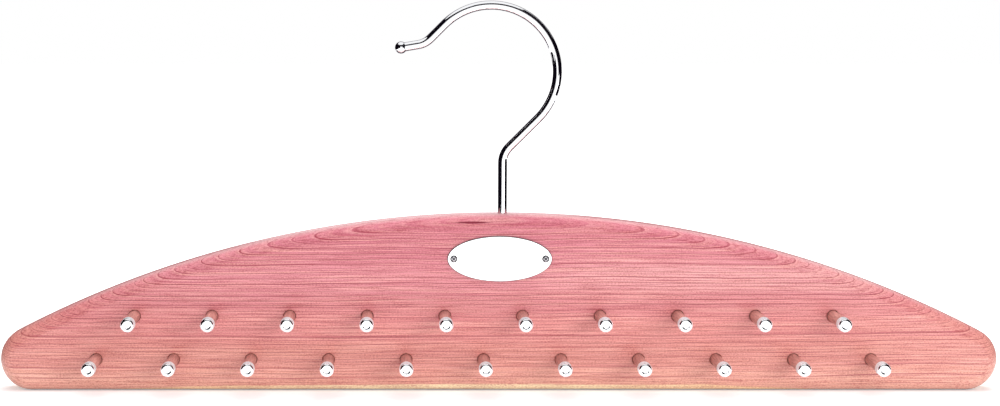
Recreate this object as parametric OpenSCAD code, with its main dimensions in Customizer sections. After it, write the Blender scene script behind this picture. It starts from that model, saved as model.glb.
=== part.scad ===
// Tie hanger: an arched cedar board with two staggered rows of capped pegs,
// an oval plate on two small screws, and a wire hook that swivels in the top edge.
//
// Origin: centre of the flat lower edge, in the middle of the board's thickness.
// +X runs along the board, +Z is up, and the pegs point to the front, -Y.

/* [Board] */
// Length of the board from nose to nose
board_l = 444.5; // [420:0.5:470]
// Height of the board at the middle of its arched top edge
board_h = 79; // [76:0.5:90]
// Thickness of the board
board_t = 19; // [18:0.5:24]
// Radius of the rounded nose at each end
nose_r = 14; // [13:0.5:16]
// Radius of the round-over along the front and back edges
edge_r = 6.35; // [4:0.05:7]

/* [Pegs] */
// Number of pegs in the upper row
upper_count = 10; // [8:1:10]
// Number of pegs in the lower row
lower_count = 11; // [9:1:11]
// Distance from one peg to the next in a row
peg_pitch = 34.4; // [32:0.1:35]
// Height of the upper row above the lower edge
upper_z = 34; // [30:0.5:36]
// Height of the lower row above the lower edge
lower_z = 14.5; // [13:0.5:18]
// How far the middle of both rows lies from the middle of the board
row_x = -7; // [-8:0.5:8]
// Diameter of a wooden peg
peg_d = 5.1; // [4.5:0.1:5.5]
// Length of a capped peg in front of the board
peg_out = 28.5; // [24:0.5:32]
// Depth of a peg in the board
peg_in = 12; // [8:0.5:14]
// Glue line around a peg, in the board and in its cap
glue = 0.05; // [0.02:0.01:0.1]

/* [Peg caps] */
// Outside diameter of a cap
cap_d = 6; // [5.8:0.1:6.4]
// Length of a cap along its peg
cap_l = 6; // [5:0.5:8]
// Thickness of a cap's front
cap_front = 0.6; // [0.5:0.1:1]
// Radius of the shoulder between a cap's front and its side
cap_shoulder_r = 1; // [0.8:0.05:1.1]
// Radius of the shallow dish in a cap's front
cap_dish_r = 1.75; // [1.5:0.05:1.75]
// Depth of the dish
cap_dish_depth = 0.13; // [0.05:0.01:0.2]

/* [Plate] */
// Length of the oval plate
plate_l = 46.2; // [44:0.1:50]
// Height of the oval plate
plate_h = 20.2; // [18:0.1:22]
// Thickness of the oval plate
plate_t = 0.8; // [0.6:0.1:1.2]
// Height of the middle of the plate above the lower edge
plate_z = 59.6; // [56:0.1:60]
// Distance between the two screws
screw_gap = 40.6; // [38:0.1:41]
// Diameter of a screw head
screw_head_d = 3.2; // [3:0.1:3.6]
// Length of a screw in the wood
screw_l = 9; // [6:0.5:12]

/* [Hook] */
// Diameter of the hook's wire
wire_d = 4; // [3.6:0.1:4.4]
// Distance of the hook's stem from the middle of the board
stem_x = 1.5; // [-4:0.5:4]
// Centre of the loop, along the board
loop_x = -3.8; // [-6:0.1:-3]
// Height of the centre of the loop above the lower edge
loop_z = 141.8; // [138:0.1:146]
// Radius of the loop, to the middle of the wire
loop_r = 29.4; // [28:0.1:30]
// Radius of the bends, to the middle of the wire
bend_r = 10; // [8:0.5:11]
// Length of the straight stretch from the loop down to the tip's bend
drop_l = 8.5; // [6:0.5:12]
// Length of the straight tip between its bend and the ball's centre
tip_l = 7.7; // [6:0.1:12]
// Fall of the tip below level, in degrees
tip_fall = 9.5; // [0:0.5:20]
// Diameter of the ball on the tip
ball_d = 5.4; // [4.8:0.1:6.5]
// Depth of the hook's shank in the board
shank_l = 34; // [28:1:36]
// Radial clearance of the shank in its bore
swivel_fit = 0.05; // [0.02:0.01:0.1]

/* [Hidden] */
// Angle of the hook's two sloping stretches
slope = 45;
// Rings rolled into the shank, which keep it in the wood
ring_d = wire_d + 0.9;
ring_w = 1.6;
ring_depths = [10, 18, 26];
ring_play = 0.1;
// Room below the end of the shank
bore_end_gap = 1.5;
// Screw under its head
screw_d = 1.7;
screw_tip_l = 2.5;
screw_head_h = 0.8;
screw_hole_fit = 0.15;
recess_l = 2;
recess_w = 0.45;
recess_depth = 0.5;
// Width of the slope round a cap's dish
cap_dish_slope = 0.5;
// Chamfer at the inner end of a peg
peg_chamfer = 0.5;
// Facets along the arched edge, round each nose and round the edge
arch_steps = 72;
nose_steps = 20;
edge_steps = 8;
// A bead of this extra radius closes each joint in the wire, over a gap this wide on both sides
bead = 0.02;
bead_gap = 0.05;

wire_r = wire_d / 2;
front_y = -board_t / 2;
peg_r = peg_d / 2;
cap_r = cap_d / 2;

// The top edge is one arc, tangent to both nose circles.
// arch_r is its radius, and core_r reaches from its centre to the nose centres.
nose_x = board_l / 2 - nose_r;
rise = board_h - 2 * nose_r;
core_r = (nose_x * nose_x + rise * rise) / (2 * rise);
arch_r = core_r + nose_r;
arch_z = board_h - arch_r;
arch_angle = asin(nose_x / core_r);

upper_x = [for (i = [1:upper_count]) row_x + (i - (upper_count + 1) / 2) * peg_pitch];
lower_x = [for (i = [1:lower_count]) row_x + (i - (lower_count + 1) / 2) * peg_pitch];
screw_x = [-screw_gap / 2, screw_gap / 2];

// Corners and tangent points of the hook's centre line, as [x, z]
loop_c = [loop_x, loop_z];
loop_in = loop_c + loop_r * heading(-slope);
loop_out = loop_c + loop_r * heading(180 - slope);
bend_reach = bend_r * tan((90 - slope) / 2);
stem_corner = [stem_x, loop_in[1] - (loop_in[0] - stem_x) * tan(slope)];
stem_end = stem_corner - bend_reach * heading(90);
diagonal_start = stem_corner + bend_reach * heading(slope);
drop_end = loop_out + drop_l * heading(180 + slope);
tip_bend_c = drop_end + bend_r * heading(90 + slope);
tip_start = tip_bend_c + bend_r * heading(270 + tip_fall);
ball_c = tip_start + tip_l * heading(180 + tip_fall);

// Unit vector [x, z] at an angle above +X
function heading(angle) = [cos(angle), sin(angle)];

// Points of an arc, centre c, from angle a to angle b
function arc_points(c, r, a, b, steps) =
    [for (i = [0:steps]) c + r * heading(a + (b - a) * i / steps)];

// Outline of the board drawn in by inset, as [x, z] points from the left end of the arch
function outline(inset) = concat(
    arc_points([0, arch_z], arch_r - inset, 90 + arch_angle, 90 - arch_angle, arch_steps),
    trim_first(arc_points([nose_x, nose_r], nose_r - inset, 90 - arch_angle, -90, nose_steps)),
    trim_last(arc_points([-nose_x, nose_r], nose_r - inset, 270, 90 + arch_angle, nose_steps))
);
function trim_first(list) = [for (i = [1:len(list) - 1]) list[i]];
function trim_last(list) = [for (i = [0:len(list) - 2]) list[i]];

// The outline as a ring of [x, y, z] points, at an angle round the front edge's round-over:
// 0 is where it leaves the front face and 90 is where it meets the rim
function front_ring(angle) =
    let (y = front_y + edge_r * (1 - cos(angle)))
    [for (p = outline(edge_r * (1 - sin(angle)))) [p[0], y, p[1]]];
function back_ring(angle) = [for (p = front_ring(angle)) [p[0], -p[1], p[2]]];

// The board before drilling: a flat front and back, and a round-over all round
module blank() {
    rings = concat(
        [for (i = [0:edge_steps]) front_ring(90 * i / edge_steps)],
        [for (i = [edge_steps:-1:0]) back_ring(90 * i / edge_steps)]
    );
    n = len(rings[0]);
    last = (len(rings) - 1) * n;
    sides = [for (k = [0:len(rings) - 2]) for (i = [0:n - 1]) let (j = (i + 1) % n)
        [k * n + j, k * n + i, (k + 1) * n + i, (k + 1) * n + j]];
    points = [for (ring = rings) for (p = ring) p];
    polyhedron(
        points = points,
        faces = concat([[for (i = [0:n - 1]) i]], sides, [[for (i = [n - 1:-1:0]) last + i]])
    );
}

// Blind hole from the front face
module front_hole(x, z, r, depth) {
    translate([x, front_y + depth, z]) rotate([90, 0, 0]) cylinder(r = r, h = depth + 1, $fn = 48);
}

// Bore for the hook's shank, with a groove around each rolled ring
module swivel_bore() {
    top = board_h + 1;
    bottom = board_h - shank_l - bore_end_gap;
    translate([stem_x, 0, bottom]) cylinder(r = wire_r + swivel_fit, h = top - bottom, $fn = 48);
    for (d = ring_depths) {
        translate([stem_x, 0, board_h - d - ring_play])
            cylinder(r = ring_d / 2 + swivel_fit, h = ring_w + 2 * ring_play, $fn = 48);
    }
}

module board() {
    color("#e39a8e") difference() {
        blank();
        for (x = upper_x) front_hole(x, upper_z, peg_r + glue, peg_in);
        for (x = lower_x) front_hole(x, lower_z, peg_r + glue, peg_in);
        for (x = screw_x) front_hole(x, plate_z, screw_d / 2, screw_l);
        swivel_bore();
    }
}

// Wooden peg, glued into the board and into its cap
module peg(x, z) {
    length = peg_in + peg_out - cap_front;
    color("#b9776b") translate([x, front_y + peg_in, z]) rotate([90, 0, 0]) {
        cylinder(r1 = peg_r - peg_chamfer, r2 = peg_r, h = peg_chamfer, $fn = 48);
        translate([0, 0, peg_chamfer]) cylinder(r = peg_r, h = length - peg_chamfer, $fn = 48);
    }
}

// Half section of a cap: x is the radius, y runs from the open end to the front
function cap_section() = let (
    shoulder_c = [cap_r - cap_shoulder_r, cap_l - cap_shoulder_r],
    dish_floor = cap_l - cap_dish_depth,
    bore_r = peg_r + glue
) concat(
    [[bore_r, 0], [cap_r, 0]],
    arc_points(shoulder_c, cap_shoulder_r, 0, 90, 8),
    [[cap_dish_r, cap_l], [cap_dish_r - cap_dish_slope, dish_floor], [0, dish_floor]],
    [[0, cap_l - cap_front], [bore_r, cap_l - cap_front]]
);

// Pressed metal cap on the end of a peg
module peg_cap(x, z) {
    color("#dfe1e6") translate([x, front_y - peg_out + cap_l, z]) rotate([90, 0, 0])
        rotate_extrude($fn = 64) polygon(cap_section());
}

// Oval plate, with a hole for each screw
module nameplate() {
    color("#f2f3f4") difference() {
        translate([0, front_y, plate_z]) rotate([90, 0, 0]) linear_extrude(height = plate_t)
            polygon([for (i = [0:95]) [plate_l / 2 * cos(i * 3.75), plate_h / 2 * sin(i * 3.75)]]);
        for (x = screw_x) {
            translate([x, front_y + 1, plate_z]) rotate([90, 0, 0])
                cylinder(r = screw_d / 2 + screw_hole_fit, h = plate_t + 2, $fn = 32);
        }
    }
}

// Small round-head wood screw with a crossed recess
module nameplate_screw(x) {
    head_r = screw_head_d / 2;
    dome_r = (head_r * head_r + screw_head_h * screw_head_h) / (2 * screw_head_h);
    shank = screw_l + plate_t - screw_tip_l;
    color("#c9ccd2") translate([x, front_y - plate_t, plate_z]) rotate([90, 0, 0]) {
        difference() {
            intersection() {
                translate([0, 0, screw_head_h - dome_r]) sphere(r = dome_r, $fn = 64);
                cylinder(r = head_r + 1, h = screw_head_h + 1, $fn = 64);
            }
            for (turn = [45, 135]) {
                rotate(turn) translate([-recess_l / 2, -recess_w / 2, screw_head_h - recess_depth])
                    cube([recess_l, recess_w, 1]);
            }
        }
        translate([0, 0, -shank]) cylinder(r = screw_d / 2, h = shank, $fn = 32);
        translate([0, 0, -shank - screw_tip_l])
            cylinder(r1 = 0.2, r2 = screw_d / 2, h = screw_tip_l, $fn = 32);
    }
}

// Straight wire from the point p = [x, z], at an angle above +X
module wire_line(p, angle, length) {
    translate([p[0], 0, p[1]]) rotate([0, 90 - angle, 0]) translate([0, 0, bead_gap])
        cylinder(r = wire_r, h = length - 2 * bead_gap, $fn = 64);
}

// Bent wire about the centre c = [x, z], from angle a through a sweep
module wire_arc(c, r, a, sweep) {
    trim = bead_gap / r * 180 / PI;
    translate([c[0], 0, c[1]]) rotate([0, -a - trim, 0]) rotate([90, 0, 0])
        rotate_extrude(angle = sweep - 2 * trim, $fn = 96) translate([r, 0]) circle(r = wire_r, $fn = 64);
}

// Bead over the joint between two stretches of wire
module wire_joint(p) {
    translate([p[0], 0, p[1]]) sphere(r = wire_r + bead, $fn = 64);
}

module hook() {
    shank_end = [stem_x, board_h - shank_l];
    color("#d5d8de") {
        wire_line(shank_end, 90, stem_end[1] - shank_end[1]);
        for (d = ring_depths) {
            translate([stem_x, 0, board_h - d]) cylinder(r = ring_d / 2, h = ring_w, $fn = 64);
        }
        wire_joint(stem_end);
        wire_arc(stem_end + [bend_r, 0], bend_r, 90 + slope, 90 - slope);
        wire_joint(diagonal_start);
        wire_line(diagonal_start, slope, norm(loop_in - diagonal_start));
        wire_joint(loop_in);
        wire_arc(loop_c, loop_r, -slope, 180);
        wire_joint(loop_out);
        wire_line(loop_out, 180 + slope, drop_l);
        wire_joint(drop_end);
        wire_arc(tip_bend_c, bend_r, 270 + tip_fall, slope - tip_fall);
        wire_joint(tip_start);
        wire_line(tip_start, 180 + tip_fall, tip_l);
        translate([ball_c[0], 0, ball_c[1]]) sphere(r = ball_d / 2, $fn = 64);
    }
}

board();
hook();
nameplate();
nameplate_screw(screw_x[0]);  // nameplate_screw_left
nameplate_screw(screw_x[1]);  // nameplate_screw_right
for (i = [1:upper_count]) {
    peg(upper_x[i - 1], upper_z);
    peg_cap(upper_x[i - 1], upper_z);
}
for (i = [1:lower_count]) {
    peg(lower_x[i - 1], lower_z);
    peg_cap(lower_x[i - 1], lower_z);
}
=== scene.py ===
# Tie hanger: an arched cedar board with capped pegs, an oval plate and a chromed wire hook,
# on a white studio floor. Metres, in the part's own frame.
import math

import bmesh
import bpy
from mathutils import Matrix, Vector


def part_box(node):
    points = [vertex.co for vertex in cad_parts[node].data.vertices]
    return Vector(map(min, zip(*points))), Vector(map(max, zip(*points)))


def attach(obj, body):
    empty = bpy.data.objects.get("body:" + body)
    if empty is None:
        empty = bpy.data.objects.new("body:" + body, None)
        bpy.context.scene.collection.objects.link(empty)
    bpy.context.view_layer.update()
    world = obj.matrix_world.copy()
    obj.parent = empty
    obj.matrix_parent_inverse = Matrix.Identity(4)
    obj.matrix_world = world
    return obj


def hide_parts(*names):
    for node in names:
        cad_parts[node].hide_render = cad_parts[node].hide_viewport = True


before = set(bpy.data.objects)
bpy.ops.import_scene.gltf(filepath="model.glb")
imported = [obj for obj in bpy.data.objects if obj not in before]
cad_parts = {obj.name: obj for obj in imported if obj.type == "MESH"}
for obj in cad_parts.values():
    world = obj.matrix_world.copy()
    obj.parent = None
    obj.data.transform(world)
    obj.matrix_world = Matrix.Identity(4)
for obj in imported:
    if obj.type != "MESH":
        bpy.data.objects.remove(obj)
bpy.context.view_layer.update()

MM = 0.001
FORWARD = Vector((0, -1, 0))

# Sizes of the board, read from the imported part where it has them
board_low, board_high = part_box("board")
board_height = board_high.z
board_front = board_low.y
board_thickness = board_high.y - board_low.y
half_length = board_high.x
nose_radius = 14 * MM
round_over = 6.35 * MM

# Narrow flat borders that keep the shading of the broad faces even
board_border = 0.4 * MM
plate_border = 0.3 * MM

# Sizes of the wire hook
wire_radius = 2 * MM
stem_x = 1.5 * MM
shank_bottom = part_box("hook")[0].z
loop_centre = Vector((-3.8 * MM, 0, 141.8 * MM))
loop_radius = 29.4 * MM
bend_radius = 10 * MM
drop_length = 8.5 * MM
tip_length = 7.7 * MM
tip_fall = math.radians(9.5)
hook_slope = math.radians(45)
ball_radius = 2.7 * MM
ring_depths = (10 * MM, 18 * MM, 26 * MM)
ring_rise = 0.45 * MM
ring_length = 1.6 * MM
ring_play = 0.1 * MM

# Sizes of the hook's bore, which runs on below the shank and flares at its mouth
bore_run_on = 1.5 * MM
mouth_depth = 0.3 * MM
mouth_rise = 1 * MM
mouth_flare = 1.5

# Sizes of the pegs and caps
peg_radius = 2.55 * MM
peg_hole_play = 0.2 * MM
peg_hole_rim = 0.15 * MM
peg_hole_depth = 12 * MM
peg_end_bevel = 0.4 * MM
cap_length = 6 * MM
cap_wall_end = 0.6 * MM
cap_rim_width = 0.06 * MM
cap_rim_back = 0.98 * MM
cap_rim_bevel = 0.06 * MM
cap_shoulder = 0.95 * MM
cap_play = 0.05 * MM

# Rings of the cap's front from the crown inwards: width of the ring and how far it sinks
dish_steps = [(0.06 * MM, 0), (0.05 * MM, 0.008 * MM), (0.16 * MM, 0.056 * MM),
              (0.16 * MM, 0.062 * MM), (0.16 * MM, 0.062 * MM), (0.12 * MM, 0.036 * MM),
              (0.06 * MM, 0.006 * MM), (0.3 * MM, 0.004 * MM)]

# Sizes of the plate and screws
plate_bevel = 0.3 * MM
plate_hole_radius = 1 * MM
screw_head_height = 0.8 * MM
screw_head_edge = 0.08 * MM
screw_shank_radius = 0.85 * MM
screw_tip_length = 2.5 * MM
recess_length = 2.3 * MM
recess_width = 0.45 * MM
recess_depth = 0.7 * MM
recess_least_sink = 0.06 * MM
# Width of the ring of painted shade round each screw head
painted_shade_ring_width = 0.43 * MM


# Selecting and finishing

def deselect():
    """Leaves nothing selected and no piece active."""
    bpy.ops.object.select_all(action="DESELECT")
    bpy.context.view_layer.objects.active = None


def begin(name):
    """Names the primitive that was just added, puts its place in its mesh and opens it for editing."""
    piece = bpy.context.active_object
    piece.name = piece.data.name = name
    bpy.ops.object.transform_apply(location=True, rotation=True, scale=True)
    bpy.ops.object.mode_set(mode="EDIT")
    return piece


def pick(kind, test):
    """Selects only the edges or the faces that pass the test."""
    bpy.ops.mesh.select_mode(type=kind)
    bpy.ops.mesh.select_all(action="DESELECT")
    mesh = bpy.context.active_object.data
    shape = bmesh.from_edit_mesh(mesh)
    parts = shape.faces if kind == "FACE" else shape.edges
    for part in parts:
        if test(part):
            part.select_set(True)
    shape.select_flush_mode()
    bmesh.update_edit_mesh(mesh)


def facing(direction):
    """A test for faces that point along a direction."""
    return lambda face: face.normal.dot(direction) > 0.999


def broad_front(area):
    """A test for faces that point forwards and are larger than an area."""
    return lambda face: facing(FORWARD)(face) and face.calc_area() > area


def lying_at(axis, place):
    """A test for edges that lie at one place along an axis, 1 for y and 2 for z."""
    def test(edge):
        return all(abs(corner.co[axis] - place) < 0.01 * MM for corner in edge.verts)
    return test


def close_edit(smooth_angle=30):
    """Merges doubles, turns the faces outwards, leaves edit mode and smooths up to an angle."""
    bpy.ops.mesh.select_all(action="SELECT")
    bpy.ops.mesh.remove_doubles(threshold=0.001 * MM)
    bpy.ops.mesh.normals_make_consistent(inside=False)
    bpy.ops.object.mode_set(mode="OBJECT")
    bpy.ops.object.shade_smooth_by_angle(angle=math.radians(smooth_angle))


def copy_moved(piece, offset, name):
    """A copy of a finished piece with its own mesh, moved in the mesh."""
    twin = piece.copy()
    twin.data = piece.data.copy()
    twin.name = twin.data.name = name
    twin.data.transform(Matrix.Translation(offset))
    bpy.context.scene.collection.objects.link(twin)
    return twin


def cut_away(piece, cutters):
    """Cuts the joined cutters out of a piece."""
    deselect()
    for cutter in cutters:
        cutter.select_set(True)
    bpy.context.view_layer.objects.active = cutters[0]
    if len(cutters) > 1:
        bpy.ops.object.join()
    tool = bpy.context.active_object
    deselect()
    piece.select_set(True)
    bpy.context.view_layer.objects.active = piece
    cut = piece.modifiers.new("cut", "BOOLEAN")
    cut.operation = "DIFFERENCE"
    cut.solver = "EXACT"
    cut.object = tool
    bpy.ops.object.modifier_apply(modifier=cut.name)
    bpy.data.objects.remove(tool)
    bpy.ops.object.shade_smooth_by_angle(angle=math.radians(30))


def assign(piece, body, node):
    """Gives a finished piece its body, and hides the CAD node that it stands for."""
    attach(piece, body)
    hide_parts(node)


def dress(piece, finish, body, node):
    """Gives a finished piece its material and its body, and hides its CAD node."""
    piece.data.materials.clear()
    piece.data.materials.append(finish)
    assign(piece, body, node)


def recolour(piece, finish, test):
    """Gives the faces of a piece that pass the test a further material."""
    deselect()
    piece.select_set(True)
    bpy.context.view_layer.objects.active = piece
    piece.data.materials.append(finish)
    piece.active_material_index = len(piece.data.materials) - 1
    bpy.ops.object.mode_set(mode="EDIT")
    pick("FACE", test)
    bpy.ops.object.material_slot_assign()
    bpy.ops.object.mode_set(mode="OBJECT")


# Short calls for material nodes

def set_inputs(tree, node, inputs):
    """Sets each named input of a node to a value, or links it to a socket."""
    for key, value in dict(inputs).items():
        if isinstance(value, bpy.types.NodeSocket):
            tree.links.new(value, node.inputs[key])
        else:
            node.inputs[key].default_value = value


def add_node(tree, kind, inputs=(), **settings):
    """Adds a node, sets its settings, and sets or links its inputs."""
    node = tree.nodes.new(kind)
    for key, value in settings.items():
        setattr(node, key, value)
    set_inputs(tree, node, inputs)
    return node


def calculate(tree, operation, first, second=0.0):
    """One step of arithmetic on two values or sockets."""
    return add_node(tree, "ShaderNodeMath", {0: first, 1: second}, operation=operation).outputs[0]


def product(tree, first, *others):
    """Values or sockets multiplied together."""
    for other in others:
        first = calculate(tree, "MULTIPLY", first, other)
    return first


def centred(tree, value, size):
    """A value from 0 to 1 made to swing about zero, over a whole range of the size given."""
    return product(tree, calculate(tree, "SUBTRACT", value, 0.5), size)


def length_of(tree, vector):
    """The length of a vector."""
    return add_node(tree, "ShaderNodeVectorMath", {0: vector}, operation="LENGTH").outputs["Value"]


def noise(tree, vector, detail=2.0, roughness=0.5):
    """Noise from 0 to 1 at the scale of its vector."""
    inputs = {"Vector": vector, "Scale": 1.0, "Detail": detail, "Roughness": roughness}
    return add_node(tree, "ShaderNodeTexNoise", inputs).outputs["Fac"]


def scaled(tree, vector, scale, location=(0, 0, 0)):
    """The vector times a scale for each axis, then moved."""
    inputs = {"Vector": vector, "Scale": scale, "Location": location}
    return add_node(tree, "ShaderNodeMapping", inputs).outputs[0]


def blend_colour(tree, factor, first, second, mode="MIX"):
    """Two colours mixed by a factor."""
    inputs = {"Factor": factor, 6: first, 7: second}
    return add_node(tree, "ShaderNodeMix", inputs, data_type="RGBA", blend_type=mode).outputs[2]


def ramp(tree, factor, stops):
    """A colour ramp with stops of (place, colour)."""
    node = add_node(tree, "ShaderNodeValToRGB", {"Fac": factor})
    band = node.color_ramp
    while len(band.elements) < len(stops):
        band.elements.new(0.5)
    for element, (place, colour) in zip(band.elements, stops):
        element.position = place
        element.color = colour if len(colour) == 4 else (*colour, 1)
    return node.outputs["Color"]


def stretch(tree, value, low, high, to_low=0.0, to_high=1.0):
    """A value moved from one range to another and kept inside it."""
    inputs = {"Value": value, 1: low, 2: high, 3: to_low, 4: to_high}
    return add_node(tree, "ShaderNodeMapRange", inputs).outputs[0]


def curve_of(tree, factor, stops):
    """A value that follows stops of (place, value)."""
    return ramp(tree, factor, [(place, (value, value, value)) for place, value in stops])


def paint(code):
    """The linear colour of an sRGB code such as "e39a8e"."""
    parts = [int(code[i:i + 2], 16) / 255 for i in (0, 2, 4)]
    linear = [c / 12.92 if c <= 0.04045 else ((c + 0.055) / 1.055) ** 2.4 for c in parts]
    return (*linear, 1)


def empty_tree(holder):
    """Gives a material or the world an empty node tree, and returns the tree."""
    holder.use_nodes = True
    holder.node_tree.nodes.clear()
    return holder.node_tree


def new_finish(name):
    """An empty material with a surface shader: returns the material, its tree and the shader."""
    finish = bpy.data.materials.new(name)
    tree = empty_tree(finish)
    shader = add_node(tree, "ShaderNodeBsdfPrincipled")
    add_node(tree, "ShaderNodeOutputMaterial", {"Surface": shader.outputs[0]})
    return finish, tree, shader


def millimetres(tree):
    """The place in the part's own frame, in millimetres."""
    place = add_node(tree, "ShaderNodeTexCoord").outputs["Object"]
    return scaled(tree, place, (1000, 1000, 1000))


def add_bump(tree, shader, height, strength, distance):
    """Relief from a height value."""
    inputs = {"Height": height, "Strength": strength, "Distance": distance}
    bump = add_node(tree, "ShaderNodeBump", inputs)
    set_inputs(tree, shader, {"Normal": bump.outputs[0]})


# Materials

# The tree's heart lies in front of the board and above it, so the rings slant up into the board
# and the pale sapwood runs along the lower edge. These are plain millimetres.
heart_y = -61.0
heart_z = 118.5
growth_ring_width = 1.6
vein_spacing = 0.85
sapwood_radius = 126.6
sapwood_middle = -15.0
streak_x = -12.0
streak_z = 75.6
streak_reach = 9.0
streak_height = 0.5


def count_rings(tree, radius, width, uneven, swing):
    """Rings of a width, unevenly spaced: returns the ring's number and the place inside it."""
    count = calculate(tree, "ADD", calculate(tree, "DIVIDE", radius, width), product(tree, uneven, swing))
    return calculate(tree, "FLOOR", count), calculate(tree, "FRACT", count)


def chance_of(tree, number):
    """A value from 0 to 1 that differs from ring to ring and never changes between runs."""
    inputs = {"W": number}
    return add_node(tree, "ShaderNodeTexWhiteNoise", inputs, noise_dimensions="1D").outputs["Value"]


def cedar_finish():
    """Sanded red cedar, with growth rings that run through the board."""
    finish, tree, shader = new_finish("sanded red cedar")
    place = millimetres(tree)
    along, inward, height = add_node(tree, "ShaderNodeSeparateXYZ", {0: place}).outputs
    drift = noise(tree, scaled(tree, place, (0.008, 0.012, 0.012)), detail=1.0)
    wander = noise(tree, scaled(tree, place, (0.045, 0.08, 0.08), (3, 8, 5)), detail=1.0)
    across = scaled(tree, place, (0, 1, 1), (0, -heart_y, -heart_z))
    radius = calculate(tree, "ADD", length_of(tree, across), centred(tree, drift, 4.5))
    radius = calculate(tree, "ADD", radius, centred(tree, wander, 0.7))

    # Rings: a crisp dark line of late wood at the end of each, some bold and some faint
    uneven = add_node(tree, "ShaderNodeTexNoise", {"W": radius, "Scale": 0.13, "Detail": 1.0},
                      noise_dimensions="1D").outputs["Fac"]
    ring_number, in_ring = count_rings(tree, radius, growth_ring_width, uneven, 1.9)
    front_to_middle = stretch(tree, inward, board_front / MM, 0.0)
    rounded = curve_of(tree, front_to_middle, [(0.0, 0.0), (0.1, 0.8), (0.3, 1.0), (0.6, 0.4), (1.0, 0.0)])
    line_start = stretch(tree, rounded, 0.0, 1.0, 0.8, 0.9)
    latewood = stretch(tree, in_ring, line_start, calculate(tree, "ADD", line_start, 0.03))
    boldness = curve_of(tree, chance_of(tree, ring_number), [(0.0, 0.4), (0.5, 0.75), (0.8, 1.0), (1.0, 1.0)])
    fading = noise(tree, scaled(tree, place, (0.012, 0.3, 0.3)), detail=2.0)
    fading = stretch(tree, fading, 0.35, 0.6, 0.55, 1.0)
    line = product(tree, latewood, stretch(tree, in_ring, 0.975, 1.0, 1.0, 0.0), boldness, fading,
                   stretch(tree, radius, 68.6, 70.2), stretch(tree, radius, 104.0, 122.0, 1.0, 0.45))

    # Broad colour: rosy near the heart, salmon and peach outwards, lighter towards one end
    bands = noise(tree, scaled(tree, place, (0.005, 0.11, 0.11)), detail=2.0)
    depth = calculate(tree, "ADD", stretch(tree, radius, 62.0, 130.0), centred(tree, bands, 0.3))
    wood = ramp(tree, depth, [(0.0, paint("cf7181")), (0.2, paint("d37986")), (0.34, paint("df8a93")),
                              (0.52, paint("dd8687")), (0.7, paint("df8f85")), (0.85, paint("e7a08f")),
                              (1.0, paint("efb59f"))])
    wood = blend_colour(tree, stretch(tree, along, 20.0, 200.0, 0.0, 0.17), wood, paint("e8ada3"))
    pale_band = curve_of(tree, stretch(tree, radius, 78.0, 92.0),
                         [(0.0, 0.0), (0.3, 0.45), (0.7, 0.45), (1.0, 0.0)])
    pale_band = product(tree, pale_band, stretch(tree, along, 10.0, 50.0))
    wood = blend_colour(tree, pale_band, wood, paint("edb2ae"))

    # Fine streaks and veins that follow the rings, both paler and darker than the wood between
    thread_place = add_node(tree, "ShaderNodeCombineXYZ",
                            {0: product(tree, along, 0.012), 1: product(tree, radius, 1.7)})
    threads = noise(tree, thread_place.outputs[0], detail=2.0, roughness=0.75)
    plain = stretch(tree, rounded, 0.0, 1.0, 1.0, 0.3)
    pale = product(tree, curve_of(tree, threads, [(0.5, 0.0), (0.62, 0.55)]), plain)
    vein_number, in_vein = count_rings(tree, radius, vein_spacing, uneven, 3.1)
    vein = curve_of(tree, in_vein, [(0.0, 0.0), (0.2, 1.0), (0.45, 0.0)])
    vein_boldness = curve_of(tree, chance_of(tree, vein_number), [(0.2, 0.0), (0.4, 0.65), (1.0, 1.0)])
    vein = product(tree, vein, vein_boldness, fading)
    dark = curve_of(tree, threads, [(0.36, 0.45), (0.48, 0.0)])
    dark = product(tree, calculate(tree, "MAXIMUM", dark, vein), plain)
    wood = blend_colour(tree, pale, wood, paint("f2b0a4"))
    wood = blend_colour(tree, dark, wood, paint("be5666"))
    earlywood = curve_of(tree, in_ring, [(0.0, 1.0), (0.22, 0.0)])
    wood = blend_colour(tree, product(tree, earlywood, boldness, 0.45), wood, paint("f1b4ac"))
    wood = blend_colour(tree, line, wood, paint("9c2038"))

    # One short resin streak near the top
    streak_place = scaled(tree, place, (1 / streak_reach, 0, 1 / streak_height),
                          (-streak_x / streak_reach, 0, -streak_z / streak_height))
    wood = blend_colour(tree, stretch(tree, length_of(tree, streak_place), 1.0, 0.6), wood, paint("7c1c30"))

    # Sapwood along the lower edge, running out towards the ends
    middle_off = calculate(tree, "ABSOLUTE", calculate(tree, "SUBTRACT", along, sapwood_middle))
    edge = calculate(tree, "SUBTRACT", radius, sapwood_radius)
    edge = calculate(tree, "SUBTRACT", edge, stretch(tree, middle_off, 60.0, 220.0, 0.0, 0.8))
    edge = calculate(tree, "SUBTRACT", edge, stretch(tree, middle_off, 105.0, 180.0, 0.0, 4.0))
    cream = blend_colour(tree, stretch(tree, middle_off, 50.0, 190.0), paint("ffe4be"), paint("fcc396"))
    sapwood = blend_colour(tree, product(tree, line, 0.35), cream, paint("e9a878"))
    wood = blend_colour(tree, stretch(tree, edge, -0.2, 0.2), wood, sapwood)

    # Painted light: a pale sheen painted along the top edge, and a thin painted contact shadow along the foot
    painted_top_sheen = curve_of(tree, front_to_middle, [(0.25, 0.0), (0.5, 0.5), (0.7, 0.5), (1.0, 0.2)])
    painted_top_sheen = product(tree, painted_top_sheen, stretch(tree, height, 20.0, 50.0))
    wood = blend_colour(tree, painted_top_sheen, wood, paint("f8d2d2"))
    # Painted contact shadow: the wood is painted darker towards the very bottom of the board
    wood = blend_colour(tree, stretch(tree, height, 0.95, 0.4, 0.0, 0.9), wood, paint("4e302e"))

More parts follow.
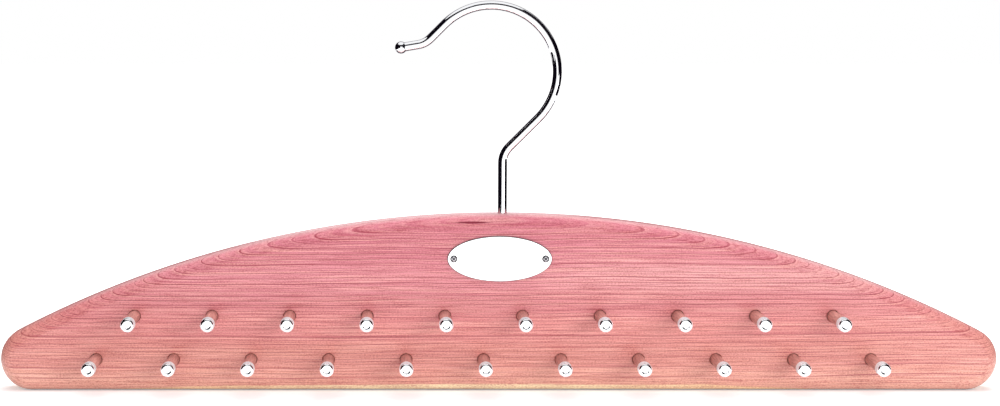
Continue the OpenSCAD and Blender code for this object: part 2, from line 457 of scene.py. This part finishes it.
    # Fibres and pores
    fibre = noise(tree, scaled(tree, place, (0.06, 2.4, 2.4)), detail=3.0, roughness=0.65)
    pores = noise(tree, scaled(tree, place, (1.3, 2.0, 2.0)), detail=1.0, roughness=0.6)
    grain = calculate(tree, "ADD", product(tree, fibre, 0.6), product(tree, pores, 0.4))
    shade = ramp(tree, grain, [(0.37, (0.68, 0.44, 0.47)), (0.49, (0.97, 0.95, 0.95)),
                               (0.62, (1.13, 1.26, 1.24))])
    wood = blend_colour(tree, 1.0, wood, shade, "MULTIPLY")
    rough = stretch(tree, grain, 0.3, 0.7, 0.55, 0.4)
    set_inputs(tree, shader, {"Base Color": wood, "Roughness": rough, "Specular IOR Level": 0.5,
                              "Coat Weight": 0.5, "Coat Roughness": 0.22})
    relief = calculate(tree, "SUBTRACT", grain, product(tree, line, 0.5))
    add_bump(tree, shader, relief, 0.22, 0.12 * MM)
    return finish


def peg_finish():
    """Turned brown-pink dowel wood, its fibres along the peg."""
    finish, tree, shader = new_finish("turned dowel wood")
    place = millimetres(tree)
    fibre = noise(tree, scaled(tree, place, (1.6, 0.12, 1.6)), detail=3.0, roughness=0.6)
    flecks = noise(tree, scaled(tree, place, (3.0, 1.2, 3.0), (5, 9, 2)), detail=2.0, roughness=0.7)
    grain = calculate(tree, "ADD", product(tree, fibre, 0.55), product(tree, flecks, 0.45))
    wood = ramp(tree, grain, [(0.3, paint("8c5250")), (0.45, paint("b27870")), (0.56, paint("cc9086")),
                              (0.72, paint("e6b0a6"))])
    set_inputs(tree, shader, {"Base Color": wood, "Roughness": 0.5, "Specular IOR Level": 0.4})
    add_bump(tree, shader, grain, 0.3, 0.1 * MM)
    return finish


def mottled_metal(name, scale, dark, light, detail=3.0):
    """A new finish that wavers between two colours: returns it, its tree, its shader and the pattern."""
    finish, tree, shader = new_finish(name)
    pattern = noise(tree, scaled(tree, millimetres(tree), scale), detail=detail)
    metal = ramp(tree, pattern, [(0.3, paint(dark)), (0.7, paint(light))])
    set_inputs(tree, shader, {"Base Color": metal})
    return finish, tree, shader, pattern


def chrome_finish():
    """Bright chrome plating with faint handling marks."""
    finish, tree, shader, marks = mottled_metal("bright chrome", (0.6, 0.6, 0.6), "f6f7fa", "fcfcfe")
    set_inputs(tree, shader, {"Roughness": stretch(tree, marks, 0.3, 0.7, 0.03, 0.07), "Metallic": 1.0,
                              "Specular Tint": paint("a69ea8")})
    return finish


def cap_side_finish():
    """Pressed nickel-bright metal, drawn a little rough along the cap's side."""
    finish, tree, shader, _ = mottled_metal("drawn cap side", (3.0, 0.4, 3.0), "e2eef2", "eefafc", 2.0)
    set_inputs(tree, shader, {"Roughness": 0.42, "Metallic": 0.5})
    return finish


def plate_finish():
    """Bright satin plate metal, brushed along its length."""
    finish, tree, shader, brushed = mottled_metal("satin plate metal", (0.12, 3.0, 6.0), "f2f3f4", "fcfcfc")
    set_inputs(tree, shader, {"Roughness": stretch(tree, brushed, 0.3, 0.7, 0.12, 0.18), "Metallic": 1.0})
    add_bump(tree, shader, brushed, 0.05, 0.02 * MM)
    return finish


def screw_finish():
    """Grey zinc-plated steel, a little uneven in colour and gloss."""
    finish, tree, shader, worn = mottled_metal("zinc plated steel", (1.5, 1.5, 1.5), "c6c6cc", "e4e4e8")
    set_inputs(tree, shader, {"Roughness": stretch(tree, worn, 0.3, 0.7, 0.28, 0.42), "Metallic": 0.35})
    return finish


def painted_shade_finish():
    """Metal painted dark to stand for shade, at the plate's edge and in the screws' recesses."""
    finish, tree, shader, _ = mottled_metal("metal with painted shade", (1.2, 1.2, 1.2), "241e26", "4a424a")
    set_inputs(tree, shader, {"Roughness": 0.5, "Metallic": 0.8})
    return finish


# The board

def heading(angle):
    """Unit vector in the plane of the board, at an angle above +X."""
    return Vector((math.cos(angle), 0, math.sin(angle)))


def make_board():
    """Draws the outline by turning one point, thickens it and rounds the edges over."""
    nose_x = half_length - nose_radius
    rise = board_height - 2 * nose_radius
    core_radius = (nose_x ** 2 + rise ** 2) / (2 * rise)
    arch_radius = core_radius + nose_radius
    arch_centre = Vector((0, board_front, board_height - arch_radius))
    arch_angle = math.asin(nose_x / core_radius)
    right_nose = Vector((nose_x, board_front, nose_radius))
    left_nose = Vector((-nose_x, board_front, nose_radius))
    start = arch_centre + arch_radius * heading(math.pi / 2 + arch_angle)

    deselect()
    bpy.ops.mesh.primitive_plane_add(size=1 * MM, location=start)
    board = begin("cedar_board")
    bpy.ops.mesh.select_all(action="SELECT")
    bpy.ops.mesh.merge(type="CENTER")
    turn = {"dupli": False, "axis": (0, -1, 0)}
    bpy.ops.mesh.spin(steps=110, angle=2 * arch_angle, center=arch_centre, **turn)
    bpy.ops.mesh.spin(steps=30, angle=math.pi - arch_angle, center=right_nose, **turn)
    bpy.ops.mesh.extrude_region_move(TRANSFORM_OT_translate={"value": (-2 * nose_x, 0, 0)})
    bpy.ops.mesh.spin(steps=30, angle=math.pi - arch_angle, center=left_nose, **turn)
    bpy.ops.mesh.select_all(action="SELECT")
    bpy.ops.mesh.remove_doubles(threshold=0.01 * MM)
    bpy.ops.mesh.edge_face_add()
    bpy.ops.mesh.extrude_region_move(TRANSFORM_OT_translate={"value": (0, board_thickness, 0)})
    bpy.ops.mesh.select_all(action="SELECT")
    bpy.ops.mesh.normals_make_consistent(inside=False)

    back = board_front + board_thickness
    at_front, at_back = lying_at(1, board_front), lying_at(1, back)
    pick("EDGE", lambda edge: at_front(edge) or at_back(edge))
    bpy.ops.mesh.bevel(offset=round_over, segments=12, profile=0.5, affect="EDGES", clamp_overlap=False)
    pick("FACE", lambda face: abs(face.normal.y) > 0.999 and face.calc_area() > 1e-3)
    bpy.ops.mesh.inset(thickness=board_border, depth=0)
    close_edit()
    return board


def peg_places():
    """The middle of every peg at the board's front face, with its row and number."""
    places = []
    for node in sorted(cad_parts):
        if node.startswith("peg_") and not node.startswith("peg_cap_"):
            low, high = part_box(node)
            places.append((node[4:], Vector(((low.x + high.x) / 2, board_front, (low.z + high.z) / 2))))
    return places


def drill_board(board, places):
    """Drills the peg holes, with broken rims, and the hook's bore with its grooves."""
    cutters = []
    hole_radius = peg_radius + peg_hole_play
    for label, place in places:
        deselect()
        bpy.ops.mesh.primitive_cylinder_add(vertices=48, radius=hole_radius, depth=peg_hole_depth,
                                            location=place + Vector((0, peg_hole_depth / 2, 0)),
                                            rotation=(math.pi / 2, 0, 0))
        cutter = begin("drill_" + label)
        pick("FACE", facing(FORWARD))
        bpy.ops.transform.translate(value=(0, peg_hole_rim, 0))
        bpy.ops.mesh.extrude_region_move(TRANSFORM_OT_translate={"value": (0, -2 * peg_hole_rim, 0)})
        ratio = (hole_radius + 2 * peg_hole_rim) / hole_radius
        bpy.ops.transform.resize(value=(ratio, 1, ratio), center_override=place)
        close_edit()
        cutters.append(cutter)
    cutters.append(make_bore_cutter())
    cut_away(board, cutters)


def make_bore_cutter():
    """The hook's bore and its three grooves, as one shape grown ring by ring."""
    bore_radius = wire_radius + ring_play
    groove_width = ring_length + 2 * ring_play
    bottom = shank_bottom - bore_run_on
    deselect()
    bpy.ops.mesh.primitive_circle_add(vertices=48, radius=bore_radius, location=(stem_x, 0, bottom))
    cutter = begin("bore")
    bpy.ops.mesh.select_all(action="SELECT")
    bpy.ops.mesh.edge_face_add()
    bpy.ops.mesh.select_mode(type="EDGE")
    level = bottom
    wide = (bore_radius + ring_rise) / bore_radius
    for depth in ring_depths[::-1]:
        floor_of_groove = board_height - depth - ring_play
        level = raise_ring(floor_of_groove - level, level)
        scale_ring(wide, level)
        level = raise_ring(groove_width, level)
        scale_ring(1 / wide, level)
    level = raise_ring(board_height - mouth_depth - level, level)
    level = raise_ring(mouth_rise, level)
    scale_ring(mouth_flare, level)
    bpy.ops.mesh.edge_face_add()
    close_edit()
    return cutter


def raise_ring(rise, level):
    """Extrudes the ring at a level upwards, and returns its new level."""
    pick("EDGE", lying_at(2, level))
    bpy.ops.mesh.extrude_region_move(TRANSFORM_OT_translate={"value": (0, 0, rise)})
    return level + rise


def scale_ring(ratio, level):
    """Makes a flat step outwards or inwards at a level of the shank or its bore."""
    bpy.ops.mesh.extrude_region_move()
    bpy.ops.transform.resize(value=(ratio, ratio, 1), center_override=(stem_x, 0, level))


# The hook

def make_hook():
    """Grows the wire from its shank by extruding and turning one ring, to the ball on its tip."""
    loop_in = loop_centre + loop_radius * heading(-hook_slope)
    loop_out = loop_centre + loop_radius * heading(math.pi - hook_slope)
    corner = Vector((stem_x, 0, loop_in.z - (loop_in.x - stem_x)))
    reach = bend_radius * math.tan(math.pi / 8)
    stem_end = corner - Vector((0, 0, reach))
    diagonal_start = corner + reach * heading(hook_slope)
    drop_direction = heading(math.pi + hook_slope)
    drop_end = loop_out + drop_length * drop_direction
    tip_bend = drop_end + bend_radius * heading(math.pi / 2 + hook_slope)
    tip_start = tip_bend + bend_radius * heading(1.5 * math.pi + tip_fall)
    tip_direction = heading(math.pi + tip_fall)
    ball_centre = tip_start + tip_length * tip_direction

    deselect()
    bpy.ops.mesh.primitive_circle_add(vertices=40, radius=wire_radius, location=(stem_x, 0, shank_bottom))
    hook = begin("wire_hook")
    bpy.ops.mesh.select_all(action="SELECT")
    bpy.ops.mesh.edge_face_add()
    bpy.ops.mesh.select_mode(type="EDGE")
    level = shank_bottom
    wide = (wire_radius + ring_rise) / wire_radius
    for depth in ring_depths[::-1]:
        level = raise_ring(board_height - depth - level, level)
        scale_ring(wide, level)
        level = raise_ring(ring_length, level)
        scale_ring(1 / wide, level)
    level = raise_ring(board_height - level, level)
    level = raise_ring(stem_end.z - level, level)
    turn = {"dupli": False, "axis": (0, -1, 0)}
    bpy.ops.mesh.spin(steps=16, angle=hook_slope, center=stem_end + Vector((bend_radius, 0, 0)), **turn)
    bpy.ops.mesh.extrude_region_move(TRANSFORM_OT_translate={"value": loop_in - diagonal_start})
    bpy.ops.mesh.spin(steps=90, angle=-math.pi, center=loop_centre, **turn)
    bpy.ops.mesh.extrude_region_move(TRANSFORM_OT_translate={"value": drop_end - loop_out})
    bpy.ops.mesh.spin(steps=14, angle=hook_slope - tip_fall, center=tip_bend, **turn)
    neck = math.sqrt(ball_radius ** 2 - wire_radius ** 2)
    bpy.ops.mesh.extrude_region_move(
        TRANSFORM_OT_translate={"value": tip_direction * (tip_length - neck)})
    here = -neck
    size = wire_radius
    turns = 16
    widest = math.acos(-neck / ball_radius)
    for step in range(1, turns):
        angle = widest * (1 - step / turns)
        along = ball_radius * math.cos(angle)
        ring = ball_radius * math.sin(angle)
        bpy.ops.mesh.extrude_region_move(TRANSFORM_OT_translate={"value": tip_direction * (along - here)})
        middle = ball_centre + tip_direction * along
        bpy.ops.transform.resize(value=(ring / size,) * 3, center_override=middle)
        here, size = along, ring
    bpy.ops.mesh.extrude_region_move(TRANSFORM_OT_translate={"value": tip_direction * (ball_radius - here)})
    bpy.ops.mesh.merge(type="CENTER")
    close_edit()
    return hook


# Pegs and caps

def make_peg(place):
    """One turned peg with softened ends, from inside the board to inside its cap."""
    low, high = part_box("peg_upper_1")
    length = high.y - low.y
    deselect()
    bpy.ops.mesh.primitive_cylinder_add(vertices=48, radius=peg_radius, depth=length,
                                        location=(place.x, (low.y + high.y) / 2, place.z),
                                        rotation=(math.pi / 2, 0, 0))
    peg = begin("peg")
    pick("EDGE", lambda edge: lying_at(1, low.y)(edge) or lying_at(1, high.y)(edge))
    bpy.ops.mesh.bevel(offset=peg_end_bevel, segments=3, affect="EDGES")
    close_edit()
    return peg


def make_cap(place):
    """One pressed cap: a straight side, a rounded shoulder on a narrow rim, a dished front and a bore."""
    low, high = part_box("peg_cap_upper_1")
    radius = (high.x - low.x) / 2
    length = cap_length - cap_rim_back
    rim_front = low.y + cap_rim_back
    deselect()
    bpy.ops.mesh.primitive_cylinder_add(vertices=64, radius=radius, depth=length,
                                        location=(place.x, rim_front + length / 2, place.z),
                                        rotation=(math.pi / 2, 0, 0))
    cap = begin("peg_cap")
    pick("EDGE", lying_at(1, rim_front))
    bpy.ops.mesh.bevel(offset=cap_rim_bevel, segments=2, affect="EDGES")
    pick("FACE", broad_front(1e-6))
    bpy.ops.mesh.inset(thickness=cap_rim_width, depth=0)
    bpy.ops.mesh.extrude_region_move(TRANSFORM_OT_translate={"value": (0, -cap_rim_back, 0)})
    pick("EDGE", lying_at(1, low.y))
    bpy.ops.mesh.bevel(offset=cap_shoulder, segments=8, profile=0.5, affect="EDGES")
    pick("FACE", broad_front(1e-6))
    for width, sink in dish_steps:
        bpy.ops.mesh.inset(thickness=width, depth=-sink)
    pick("FACE", facing(-FORWARD))
    bpy.ops.mesh.inset(thickness=radius - peg_radius - cap_play, depth=0)
    bpy.ops.mesh.extrude_region_move(
        TRANSFORM_OT_translate={"value": (0, cap_wall_end - cap_length, 0)})
    close_edit(40)
    return cap


def on_cap_side(face):
    """True for the faces of a cap's straight side."""
    low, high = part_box("peg_cap_upper_1")
    return abs(face.normal.y) < 0.1 and face.calc_center_median().y > low.y + cap_rim_back


# Plate and screws

def make_plate():
    """The oval plate, with a softened rim and a hole for each screw."""
    low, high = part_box("nameplate")
    middle = (low + high) / 2
    deselect()
    bpy.ops.mesh.primitive_circle_add(vertices=144, radius=1, fill_type="NGON",
                                      location=(middle.x, high.y, middle.z), rotation=(math.pi / 2, 0, 0))
    plate = begin("oval_plate")
    bpy.ops.mesh.select_all(action="SELECT")
    half = (high - low) / 2
    bpy.ops.transform.resize(value=(half.x, 1, half.z), center_override=(middle.x, high.y, middle.z))
    bpy.ops.mesh.extrude_region_move(TRANSFORM_OT_translate={"value": (0, low.y - high.y, 0)})
    pick("EDGE", lying_at(1, low.y))
    bpy.ops.mesh.bevel(offset=plate_bevel, segments=5, affect="EDGES")
    pick("FACE", broad_front(1e-5))
    bpy.ops.mesh.inset(thickness=plate_border, depth=0)
    close_edit()
    cutters = []
    for side in ("left", "right"):
        screw_low, screw_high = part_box("nameplate_screw_" + side)
        centre = (screw_low + screw_high) / 2
        deselect()
        bpy.ops.mesh.primitive_cylinder_add(vertices=32, radius=plate_hole_radius, depth=6 * MM,
                                            location=(centre.x, low.y, centre.z),
                                            rotation=(math.pi / 2, 0, 0))
        cutter = begin("plate_hole_" + side)
        close_edit()
        cutters.append(cutter)
    cut_away(plate, cutters)
    return plate


def make_screw(side):
    """A small round-head screw: a domed head with a crossed recess, and its shank in the wood."""
    low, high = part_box("nameplate_screw_" + side)
    centre = (low + high) / 2
    head_radius = (high.x - low.x) / 2
    seat = low.y + screw_head_height
    dome_radius = (head_radius ** 2 + screw_head_height ** 2) / (2 * screw_head_height)
    deselect()
    bpy.ops.mesh.primitive_circle_add(vertices=48, radius=head_radius, fill_type="NGON",
                                      location=(centre.x, seat, centre.z), rotation=(math.pi / 2, 0, 0))
    screw = begin("screw_" + side)
    bpy.ops.mesh.select_mode(type="FACE")
    bpy.ops.mesh.select_all(action="SELECT")
    bpy.ops.mesh.extrude_region_move(TRANSFORM_OT_translate={"value": (0, -screw_head_edge, 0)})
    height = screw_head_edge
    size = head_radius
    rings = 8
    for step in range(1, rings):
        angle = math.asin(head_radius / dome_radius) * (1 - step / rings)
        ring = dome_radius * math.sin(angle)
        top = screw_head_height - dome_radius + dome_radius * math.cos(angle)
        bpy.ops.mesh.inset(thickness=size - ring, depth=max(top - height, 0))
        height, size = max(top, height), ring
    pick("FACE", facing(-FORWARD))
    bpy.ops.mesh.inset(thickness=head_radius - screw_shank_radius, depth=0)
    shank_length = high.y - screw_tip_length - seat
    bpy.ops.mesh.extrude_region_move(TRANSFORM_OT_translate={"value": (0, shank_length, 0)})
    bpy.ops.mesh.extrude_region_move(TRANSFORM_OT_translate={"value": (0, screw_tip_length, 0)})
    bpy.ops.transform.resize(value=(0.2, 1, 0.2), center_override=(centre.x, high.y, centre.z))
    close_edit()
    for turn in (math.pi / 4, -math.pi / 4):
        deselect()
        bpy.ops.mesh.primitive_cube_add(size=1, location=(centre.x, low.y, centre.z), rotation=(0, turn, 0),
                                        scale=(recess_length, 2 * recess_depth, recess_width))
        cutter = begin("recess")
        pick("FACE", facing(-FORWARD))
        bpy.ops.transform.resize(value=(0.85, 1, 0.85), center_override=(centre.x, low.y, centre.z))
        close_edit()
        cut_away(screw, [cutter])
    return screw


def in_recess(side):
    """A test for the faces that get painted shade: a screw's crossed recess and the ring round its head."""
    low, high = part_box("nameplate_screw_" + side)
    head_radius = (high.x - low.x) / 2
    dome_radius = (head_radius ** 2 + screw_head_height ** 2) / (2 * screw_head_height)
    dome_centre = Vector(((low.x + high.x) / 2, low.y + dome_radius, (low.z + high.z) / 2))
    seat = low.y + screw_head_height

    def test(face):
        middle = face.calc_center_median()
        off_axis = math.hypot(middle.x - dome_centre.x, middle.z - dome_centre.z)
        sunk = (middle - dome_centre).length < dome_radius - recess_least_sink
        return middle.y < seat - 0.01 * MM and (sunk or off_axis > head_radius - painted_shade_ring_width)
    return test


# The set

card_distance = 0.75
fill_light = 0.3
floor_lift = 0.38
camera_place = (-0.0478, -1.0041, 0.181)
camera_tilt = 5.55
camera_lens = 81.57
camera_shift = 0.1084


def add_floor():
    """A white floor that shows as white where nothing shades it, and keeps the shadows."""
    deselect()
    bpy.ops.mesh.primitive_plane_add(size=8, location=(0, 0, -0.02 * MM))
    floor = bpy.context.active_object
    floor.name = "floor"
    finish = bpy.data.materials.new("white floor")
    tree = empty_tree(finish)
    matt = add_node(tree, "ShaderNodeBsdfDiffuse", {"Color": (0.95, 0.95, 0.95, 1)})
    place = add_node(tree, "ShaderNodeTexCoord").outputs["Object"]
    away = length_of(tree, scaled(tree, place, (0.45, 1, 0)))
    amount = seen_directly(tree, stretch(tree, away, 0.11, 0.3, floor_lift, 1.0))
    lift = add_node(tree, "ShaderNodeEmission", {"Color": (1, 1, 1, 1), "Strength": amount})
    both = add_node(tree, "ShaderNodeAddShader", {0: matt.outputs[0], 1: lift.outputs[0]})
    add_node(tree, "ShaderNodeOutputMaterial", {"Surface": both.outputs[0]})
    floor.data.materials.append(finish)


def seen_directly(tree, amount):
    """An amount that counts only where the camera, a reflection or a clear piece sees the surface."""
    path = add_node(tree, "ShaderNodeLightPath").outputs
    seen = calculate(tree, "ADD", path["Is Camera Ray"], path["Is Glossy Ray"])
    seen = calculate(tree, "ADD", seen, path["Is Transmission Ray"])
    seen = calculate(tree, "MINIMUM", seen, 1.0)
    return calculate(tree, "MULTIPLY", seen, amount)


def add_world():
    """White where it is seen, and a soft grey fill as light."""
    world = bpy.data.worlds.new("white room")
    bpy.context.scene.world = world
    tree = empty_tree(world)
    strength = calculate(tree, "ADD", seen_directly(tree, 1 - fill_light), fill_light)
    background = add_node(tree, "ShaderNodeBackground", {"Color": (1, 1, 1, 1), "Strength": strength})
    add_node(tree, "ShaderNodeOutputWorld", {"Surface": background.outputs[0]})


def add_dark_card(name, start, end, low, high, shade):
    """A curved dark card around the set, from one bearing to another, that only reflections show.
    Bearings are in degrees, 0 at the camera's side of the part and 90 at its right."""
    deselect()
    first = math.radians(start)
    point = (card_distance * math.sin(first), -card_distance * math.cos(first), low)
    bpy.ops.mesh.primitive_plane_add(size=1 * MM, location=point)
    card = begin(name)
    bpy.ops.mesh.select_all(action="SELECT")
    bpy.ops.mesh.merge(type="CENTER")
    sweep = math.radians(end - start)
    bpy.ops.mesh.spin(steps=24, angle=sweep, center=(0, 0, low), axis=(0, 0, -1), dupli=False)
    bpy.ops.mesh.select_all(action="SELECT")
    bpy.ops.mesh.extrude_region_move(TRANSFORM_OT_translate={"value": (0, 0, high - low)})
    bpy.ops.object.mode_set(mode="OBJECT")
    show_in_reflections(card, shade)


def show_in_reflections(card, shade):
    """Gives a card its shade and hides it from everything but reflections."""
    finish = bpy.data.materials.new(card.name)
    tree = empty_tree(finish)
    glow = add_node(tree, "ShaderNodeEmission", {"Color": paint(shade), "Strength": 1.0})
    add_node(tree, "ShaderNodeOutputMaterial", {"Surface": glow.outputs[0]})
    card.data.materials.append(finish)
    card.visible_camera = False
    card.visible_diffuse = False
    card.visible_transmission = False
    card.visible_shadow = False


def add_floor_card(name, left, right, near, far, shade):
    """A flat dark card on the floor, that only reflections show."""
    centre = ((left + right) / 2, (near + far) / 2, 0.5 * MM)
    deselect()
    bpy.ops.mesh.primitive_plane_add(size=1, location=centre)
    card = begin(name)
    bpy.ops.mesh.select_all(action="SELECT")
    bpy.ops.transform.resize(value=(right - left, far - near, 1), center_override=centre)
    bpy.ops.object.mode_set(mode="OBJECT")
    show_in_reflections(card, shade)


def add_lamp(name, place, target, width, height, power):
    """A rectangular soft light aimed at a point."""
    lamp = bpy.data.lights.new(name, "AREA")
    lamp.shape = "RECTANGLE"
    lamp.size = width
    lamp.size_y = height
    lamp.energy = power
    holder = bpy.data.objects.new(name, lamp)
    holder.location = place
    holder.rotation_euler = (Vector(target) - Vector(place)).to_track_quat("-Z", "Y").to_euler()
    holder.visible_camera = False
    holder.visible_glossy = False
    bpy.context.scene.collection.objects.link(holder)


def add_camera():
    """The photograph's view: level with the upper part of the hook, looking down a little."""
    camera = bpy.data.cameras.new("camera")
    camera.lens = camera_lens
    camera.sensor_width = 36
    camera.shift_x = camera_shift
    camera.clip_end = 50
    holder = bpy.data.objects.new("camera", camera)
    holder.location = camera_place
    holder.rotation_euler = (math.radians(90 - camera_tilt), 0, 0)
    bpy.context.scene.collection.objects.link(holder)
    bpy.context.scene.camera = holder


add_camera()
add_world()
add_floor()
add_dark_card("dark_left", -135, -18, 0, 1.0, "0c0810")
add_dark_card("dark_left_back", -165, -135, 0, 0.45, "0c0810")
add_dark_card("dark_right", 55, 118, 0, 1.4, "0c0810")
add_dark_card("dark_right_back", 118, 172, 0, 0.45, "0c0810")
add_dark_card("dim_back", 125, 235, 0.45, 0.85, "5a5660")
# Painted shadow: a dark card where the board's shadow lies on the floor behind it, which only reflections
# show
add_floor_card("painted_floor_shadow_back", -0.3, 0.3, 0.04, 0.34, "1c181e")
add_floor_card("dark_floor_left", -0.74, -0.36, -0.4, 0.4, "141018")
add_floor_card("dark_floor_right", 0.36, 0.74, -0.4, 0.4, "141018")
add_dark_card("dark_right_front", 24, 55, 0.09, 0.42, "0c0810")
add_dark_card("dim_front", -18, 55, 0.42, 1.15, "2a262c")
add_lamp("key light", (0.45, -1.1, 0.29), (0, 0, 0.05), 0.5, 0.36, 5.0)
add_lamp("overhead light", (0.0, -0.1, 1.05), (0, 0, 0), 1.1, 1.1, 7.6)
add_lamp("bounce light", (0, -0.11, 0.004), (0, 0, 0.004), 1.0, 0.04, 0.12)
add_lamp("rim light", (0.1, 0.3, 0.9), (0, 0, 0.05), 0.9, 0.2, 4.0)
bpy.context.scene.view_settings.view_transform = "Standard"

cedar = cedar_finish()
dowel = peg_finish()
chrome = chrome_finish()
plate_metal = plate_finish()
zinc = screw_finish()
painted_shade_metal = painted_shade_finish()
cap_side = cap_side_finish()

places = peg_places()
board = make_board()
drill_board(board, places)
dress(board, cedar, "board", "board")
hook = make_hook()
dress(hook, chrome, "hook", "hook")

first_place = places[0][1]
first_peg = make_peg(first_place)
first_cap = make_cap(first_place)
first_cap.data.materials.append(chrome)
recolour(first_cap, cap_side, on_cap_side)
for label, place in places:
    offset = place - first_place
    peg = copy_moved(first_peg, offset, "wood_peg_" + label)
    dress(peg, dowel, "board", "peg_" + label)
    cap = copy_moved(first_cap, offset, "chrome_cap_" + label)
    assign(cap, "board", "peg_cap_" + label)
bpy.data.objects.remove(first_peg)
bpy.data.objects.remove(first_cap)

plate = make_plate()
dress(plate, plate_metal, "board", "nameplate")
# Painted shade: the plate's bevelled rim and side get the dark finish, for the shade of the gap round the
# plate
recolour(plate, painted_shade_metal, lambda face: face.normal.dot(FORWARD) < 0.9)
for side in ("left", "right"):
    screw = make_screw(side)
    dress(screw, zinc, "board", "nameplate_screw_" + side)
    # Painted shade in each screw's recess and in a ring round its head
    recolour(screw, painted_shade_metal, in_recess(side))
